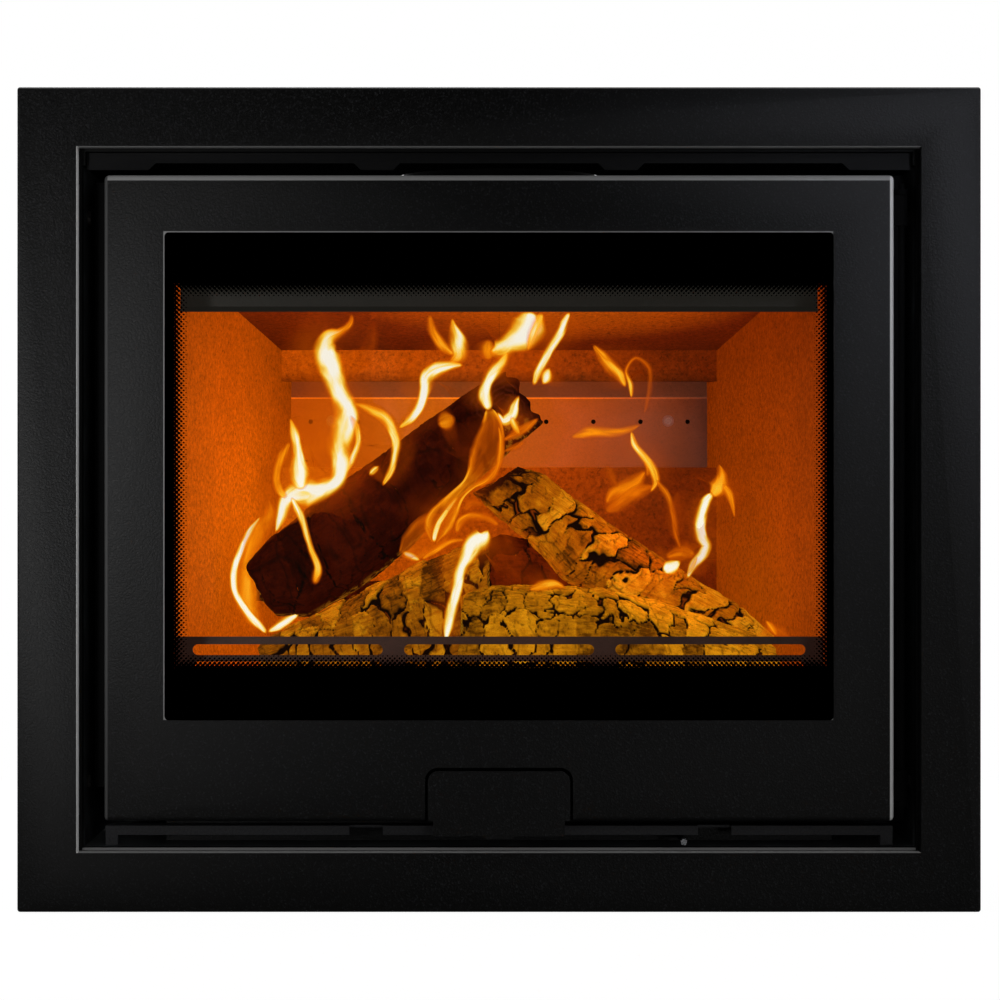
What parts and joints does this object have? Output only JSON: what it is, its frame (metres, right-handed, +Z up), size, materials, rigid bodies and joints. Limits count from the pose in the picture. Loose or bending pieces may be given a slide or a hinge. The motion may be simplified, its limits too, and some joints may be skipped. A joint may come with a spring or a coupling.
{
  "type": "fireplace insert",
  "caption": "Landscape inset wood stove: steel surround and casing, brick-lined firebox, hinged glazed door with a flap handle, air slide and a laid fire.",
  "frame": {"origin": "centre of the convection casing's underside, where the stove rests in its builder's opening", "axes": "+X to the right seen from the front, +Y towards the back, +Z up"},
  "size_m": [0.695, 0.402, 0.595],
  "materials": {
    "black_stove_paint": "fine sandy matt heat-resistant stove paint",
    "casing_paint": "matt black paint on folded sheet",
    "bare_steel": "turned bright steel",
    "fired_steel": "heat-scaled dark steel",
    "fire_brick": "pressed vermiculite board, matt and flaky",
    "ceramic_glass": "clear ceramic glass with a black printed border",
    "glass_fibre": "knitted glass-fibre rope and tape",
    "charred_wood": "charred split wood",
    "burning_wood": "cracked split wood lit by the fire"
  },
  "bodies": {
    "root": {"surround_frame": "black_stove_paint", "casing_left_side": "casing_paint", "casing_right_side": "casing_paint", "casing_top": "casing_paint", "casing_base": "casing_paint", "casing_back": "casing_paint", "hot_air_outlet_strip": "casing_paint", "frame_screw_left_lower": "bare_steel", "frame_screw_left_upper": "bare_steel", "frame_screw_right_lower": "bare_steel", "frame_screw_right_upper": "bare_steel", "firebox_front_plate": "black_stove_paint", "firebox_left_wall": "black_stove_paint", "firebox_right_wall": "black_stove_paint", "firebox_back_wall": "black_stove_paint", "firebox_floor": "black_stove_paint", "firebox_roof": "black_stove_paint", "flue_collar": "black_stove_paint", "side_brick_left": "fire_brick", "side_brick_right": "fire_brick", "floor_brick_left": "fire_brick", "floor_brick_right": "fire_brick", "rear_brick_lower": "fire_brick", "rear_brick_upper": "fire_brick", "rear_brick_top": "fire_brick", "baffle_left": "fire_brick", "baffle_right": "fire_brick", "secondary_air_plate": "fired_steel", "airwash_deflector": "fired_steel", "log_guard": "fired_steel", "air_box": "black_stove_paint", "air_inlet_spigot": "black_stove_paint", "slide_guide_upper": "black_stove_paint", "slide_guide_lower": "black_stove_paint", "lower_air_rail": "black_stove_paint", "hinge_rod": "bare_steel", "hinge_bracket_lower": "black_stove_paint", "hinge_bracket_upper": "black_stove_paint", "latch_keeper": "fired_steel", "log_front": "burning_wood", "log_front_left": "burning_wood", "log_leaning_right": "burning_wood", "log_charred": "charred_wood", "log_rear": "burning_wood", "log_middle": "burning_wood"},
    "door": {"door_skin": "black_stove_paint", "door_inner_frame": "black_stove_paint", "door_glass": "ceramic_glass", "glass_gasket": "glass_fibre", "glass_clamp_top": "fired_steel", "glass_clamp_bottom": "fired_steel", "door_rope_seal": "glass_fibre", "hinge_knuckle_lower": "black_stove_paint", "hinge_knuckle_upper": "black_stove_paint", "handle_pin": "bare_steel"},
    "handle": {"handle_flap": "black_stove_paint", "latch_hook": "fired_steel"},
    "slide": {"air_slide": "fired_steel", "air_lever_tip": "bare_steel"}
  },
  "joints": [
    {"name": "door_swing", "type": "hinge", "parent": "root", "child": "door", "pos_m": [0.2915, -0.175, 0.2553], "axis": [0, 0, 1], "range_deg": [0, 100]},
    {"name": "handle_pull", "type": "hinge", "parent": "door", "child": "handle", "pos_m": [0, -0.173, 0.05], "axis": [-1, 0, 0], "range_deg": [0, 22]},
    {"name": "air_slide_travel", "type": "slide", "parent": "root", "child": "slide", "axis": [1, 0, 0], "range_m": [-0.03, 0]}
  ]
}
